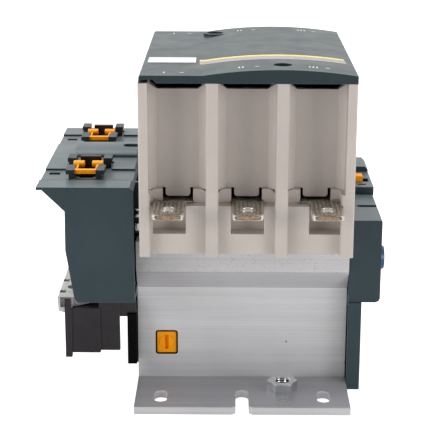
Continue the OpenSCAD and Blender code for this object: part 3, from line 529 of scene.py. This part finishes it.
def box(x0, x1, y0, y1, z0, z1):
    corners = [(x0, y0), (x1, y0), (x1, y1), (x0, y1)]
    vertices = [(x, y, z0) for x, y in corners] + [(x, y, z1) for x, y in corners]
    return vertices, [(3, 2, 1, 0), (4, 5, 6, 7), (0, 1, 5, 4), (1, 2, 6, 5), (2, 3, 7, 6), (3, 0, 4, 7)]


def rounded_outline(x0, x1, y0, y1, radius, count=32):
    """Points and outward normals round a rectangle with round corners."""
    cx, cy = (x0 + x1) / 2, (y0 + y1) / 2
    hx, hy = (x1 - x0) / 2 - radius, (y1 - y0) / 2 - radius
    outline = []
    for i in range(count):
        angle = 2 * math.pi * (i + 0.5) / count
        nx, ny = math.cos(angle), math.sin(angle)
        x, y = cx + math.copysign(hx, nx), cy + math.copysign(hy, ny)
        outline.append((x + radius * nx, y + radius * ny, nx, ny))
    return outline


def rounded_plate(x0, x1, y0, y1, radius, z0, z1, soft=0.15):
    """A plate with round corners and a softened upper edge."""
    outline = rounded_outline(x0, x1, y0, y1, radius)
    count = len(outline)
    levels = [(0.0, z0), (0.0, z1 - soft), (-soft * 0.3, z1 - soft * 0.3), (-soft, z1)]
    rows = len(levels)
    vertices = [(x + nx * offset, y + ny * offset, height)
                for x, y, nx, ny in outline for offset, height in levels]
    faces = []
    for i in range(count):
        j = (i + 1) % count
        for k in range(rows - 1):
            faces.append((i * rows + k, j * rows + k, j * rows + k + 1, i * rows + k + 1))
    faces.append(tuple(i * rows + rows - 1 for i in range(count)))
    faces.append(tuple(i * rows for i in reversed(range(count))))
    return vertices, faces


def make_cover_print():
    plate = rounded_plate(-46.2, -23.1, -34.2, -20.2, 0.8, COVER_FLAT_Z - 0.2, COVER_FLAT_Z + 0.35)
    piece("label_plate", *plate, "white_print", smooth=60)
    piece("yellow_line", *printed_rect(-21.4, 48.2, -29.2, -25.9, lift=0.07), "yellow_print")
    piece("grey_band", *printed_rect(-21.2, 48.6, -38.6, -29.2), "grey_print")


def make_tally_marks():
    """Strokes beside each pole on both long sides: one, two and three of them, then a bar."""
    parts = []
    for side in (-1, 1):
        for pole, x in enumerate((-37.5, -2.8, 29.8)):
            y = side * (60.2 if pole == 0 else 57.6)
            for i in range(pole + 1):
                parts.append(printed_rect(x + 1.7 * i, x + 1.7 * i + 0.6, y - 1.5, y + 1.5))
            parts.append(printed_rect(x + 7.6, x + 9.6, y - 0.35, y + 0.35))
    piece("tally_marks", *join_parts(parts), "white_print")


def make_hole_rims():
    """Chamfers round the pad holes and rings round the foot slots, in brighter metal; on the pad chamfers the
    brightness is painted highlight.
    """
    pad_profile = [(0.75, PAD_TOP - 0.02), (0.62, PAD_TOP + 0.06), (0.0, PAD_TOP - 0.35),
                   (0.0, PAD_TOP - 0.6), (0.75, PAD_TOP - 0.6)]
    foot_profile = [(0.72, PLATE_TOP - 0.02), (0.66, PLATE_TOP + 0.03), (0.0, PLATE_TOP - 0.4),
                    (0.0, PLATE_TOP - 0.7), (0.72, PLATE_TOP - 0.7)]
    pads, feet = [], []
    for side in (-1, 1):
        for x in PADS:
            pads.append(moulding(stadium(x, side * PAD_HOLE_Y, PAD_HOLE_RADIUS, 0.0), pad_profile))
        for x in FOOT_SLOTS:
            outline = stadium(x, side * FOOT_SLOT_Y, FOOT_SLOT_RADIUS, FOOT_SLOT_REACH, 48)
            feet.append(moulding(outline, foot_profile))
    piece("pad_hole_rims", *join_parts(pads), "bright_tin", smooth=60)
    piece("foot_slot_rims", *join_parts(feet), "bright_alloy", smooth=60)


def make_earth_mark():
    """Raised earth symbol beside the nut: a ring, a stem and three bars."""
    x, y = NUT_X, -65.0
    foot, top = PLATE_TOP - 0.05, PLATE_TOP + 0.1
    parts = [moulding(stadium(x, y, 3.0, 0.6, 48), [(0.18, foot), (0.12, top), (-0.12, top), (-0.18, foot)])]
    for y0, y1, half in ((0.2, 2.4, 0.16), (-0.2, 0.2, 1.5), (-1.1, -0.75, 1.0), (-1.95, -1.6, 0.5)):
        parts.append(box(x - half, x + half, y + y0, y + y1, foot, top))
    piece("earth_mark", *join_parts(parts), "extruded_aluminium")


def sheet(x0, x1, y0, y1, z, thick=0.08):
    """A thin flat plate whose top is at z."""
    return box(x0, x1, y0, y1, z - thick, z)


def make_recess_floors():
    """Painted shade: dark sheets on the floors of the slots in the left wing. Brown floors in the slots of
    the coil terminal block.
    """
    wing_slots = [(-94.8, -89.5, -37.2, -33.0), (-94.3, -89.1, 37.6, 41.5)]
    piece("wing_slot_shade", *join_parts([sheet(*slot, 110.02) for slot in wing_slots]), "shaded_plastic")
    block_floor = BLOCK_TOP - 2.9
    wells = [sheet(-91.4, -88.2, side * y - 2.0, side * y + 2.0, block_floor)
             for side in (-1, 1) for y in (17.7, 34.9)]
    piece("block_slot_floors", *join_parts(wells), "brown_recess")


def make_gap_hardware():
    """Bright plates of the contact system's fixing, seen in the gap beside the left wing."""
    levels = ((95.6, 96.5), (92.2, 93.6), (85.5, 89.0))
    plates = [box(-52.3, -50.3, -49.5, -46.0, z0, z1) for z0, z1 in levels]
    piece("gap_hardware", *join_parts(plates), "bright_tin")


def make_wing_lip():
    """Painted highlight: a pale line along the step near the front edge of the left wing."""
    piece("wing_lip_highlight", *sheet(-96.4, -54.7, -50.8, -50.4, 111.05), "pale_edge")


def make_block_marks():
    """A moulded ring beside each coil terminal."""
    foot, top = BLOCK_TOP - 0.05, BLOCK_TOP + 0.06
    profile = [(0.22, foot), (0.18, top), (-0.18, top), (-0.22, foot)]
    rings = [moulding(stadium(-84.9, side * 35.6, 2.0, 0.0), profile) for side in (-1, 1)]
    piece("block_ring_marks", *join_parts(rings), "grey_print")


def make_lock_gap():
    """Painted shade: a narrow near-black rounded frame standing for the dark gap round the lock's bezel."""
    low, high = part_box("magnet_lock_bezel")
    # The bezel's flange, hidden behind the plate, is this much wider than the window on each side
    flange, lap = 1.6, 0.4
    outline = rounded_outline(low[0] / MM + flange, high[0] / MM - flange,
                              low[2] / MM + flange, high[2] / MM - flange, 1.0)
    inner, outer = PLATE_FACE_Y + 0.35, PLATE_FACE_Y - 0.04
    upright, faces = moulding(outline, [(-lap, inner), (-lap, outer), (lap, outer), (lap, inner)])
    # The ring is drawn in plan and stood up on its edge, which turns its faces inside out
    vertices = [(x, y, z) for x, z, y in upright]
    piece("lock_gap_shade", vertices, [face[::-1] for face in faces], "shaded_plastic")


make_cover_print()
make_tally_marks()
make_hole_rims()
make_earth_mark()
make_recess_floors()
make_block_marks()
make_wing_lip()
make_gap_hardware()
make_lock_gap()


# ------------------------------------------------------------------ camera, light and floor

WORLD_FRONT = 0.15  # strength of the world behind the camera
WORLD_BACK = 1.05  # and behind the object
WORLD_SEEN = 1.1  # what the camera itself sees of it
FLOOR_GLOW = 0.40
FLOOR_SEEN = 1.0
FLOOR_Z = -0.2 * MM


def make_camera():
    """A long lens on the line-terminal side, looking a little down."""
    pitch, yaw, roll = 0.2842, 0.0054, 0.0035
    forward = Matrix.Rotation(yaw, 3, "Z") @ Vector((0, math.cos(pitch), -math.sin(pitch)))
    right = Matrix.Rotation(yaw, 3, "Z") @ Vector((1, 0, 0))
    up = right.cross(forward)
    side = math.cos(roll) * right + math.sin(roll) * up
    top = -math.sin(roll) * right + math.cos(roll) * up
    data = bpy.data.cameras.new("camera")
    data.lens = 112.0
    data.sensor_width = 36.0
    data.clip_start = 0.01
    camera = bpy.data.objects.new("camera", data)
    bpy.context.scene.collection.objects.link(camera)
    rotation = Matrix((side, top, -forward)).transposed().to_4x4()
    camera.matrix_world = Matrix.Translation((-0.006985, -0.68844, 0.27696)) @ rotation
    bpy.context.scene.camera = camera


def make_light(name, location, target, size, power):
    data = bpy.data.lights.new(name, "AREA")
    data.shape = "RECTANGLE"
    data.size, data.size_y = size
    data.energy = power
    light = bpy.data.objects.new(name, data)
    bpy.context.scene.collection.objects.link(light)
    light.location = location
    light.rotation_euler = (Vector(target) - Vector(location)).to_track_quat("-Z", "Y").to_euler()


def make_floor():
    mesh = bpy.data.meshes.new("floor")
    half = 3.0
    corners = [(-half, -half), (half, -half), (half, half), (-half, half)]
    mesh.from_pydata([(x, y, FLOOR_Z) for x, y in corners], [], [(0, 1, 2, 3)])
    floor = bpy.data.objects.new("floor", mesh)
    bpy.context.scene.collection.objects.link(floor)
    s = Shader("floor_paper")
    colour = s.mix(s.remap(s.noise(3, 2, 0.5), 0.3, 0.7), (0.40, 0.40, 0.40), (0.42, 0.42, 0.42))
    rough = s.remap(s.noise(20, 2, 0.5), 0.3, 0.7, 0.7, 0.8)
    mesh.materials.append(s.finish(colour, rough, Emission_Color=(1.0, 1.0, 1.0, 1.0)))
    # Brighter to the camera alone, which keeps the shadow on the paper faint
    seen = s.add("ShaderNodeLightPath").outputs["Is Camera Ray"]
    s.link(s.remap(seen, 0.0, 1.0, FLOOR_GLOW, FLOOR_SEEN), s.bsdf.inputs["Emission Strength"])


def make_world():
    """White studio: bright behind and above the object, darker behind the camera."""
    world = bpy.data.worlds.new("studio")
    world.use_nodes = True
    tree = world.node_tree
    background = tree.nodes["Background"]
    background.inputs["Color"].default_value = (1.0, 1.0, 1.0, 1.0)
    direction = tree.nodes.new("ShaderNodeTexCoord").outputs["Generated"]
    parts = tree.nodes.new("ShaderNodeSeparateXYZ")
    tree.links.new(direction, parts.inputs["Vector"])
    fade = tree.nodes.new("ShaderNodeMapRange")
    for key, value in zip(("From Min", "From Max", "To Min", "To Max"), (-0.5, 0.5, WORLD_FRONT, WORLD_BACK)):
        fade.inputs[key].default_value = value
    tree.links.new(parts.outputs["Y"], fade.inputs["Value"])
    seen = tree.nodes.new("ShaderNodeLightPath")
    pick = tree.nodes.new("ShaderNodeMix")
    tree.links.new(seen.outputs["Is Camera Ray"], pick.inputs["Factor"])
    tree.links.new(fade.outputs["Result"], pick.inputs["A"])
    pick.inputs["B"].default_value = WORLD_SEEN
    tree.links.new(pick.outputs["Result"], background.inputs["Strength"])
    bpy.context.scene.world = world


make_camera()
make_world()
make_floor()
make_light("left", (-1.0, -0.74, 0.35), (0, 0, 0.08), (0.6, 0.6), 6.3)
make_light("right", (1.0, -0.74, 0.35), (0, 0, 0.08), (0.6, 0.6), 6.1)
make_light("high_left", (-0.9, 0.2, 1.0), (-0.05, 0, 0.1), (0.8, 0.8), 5)
make_light("top", (0.0, 0.3, 1.3), (0, 0, 0.1), (1.2, 1.0), 12)
bpy.context.scene.view_settings.view_transform = "Standard"
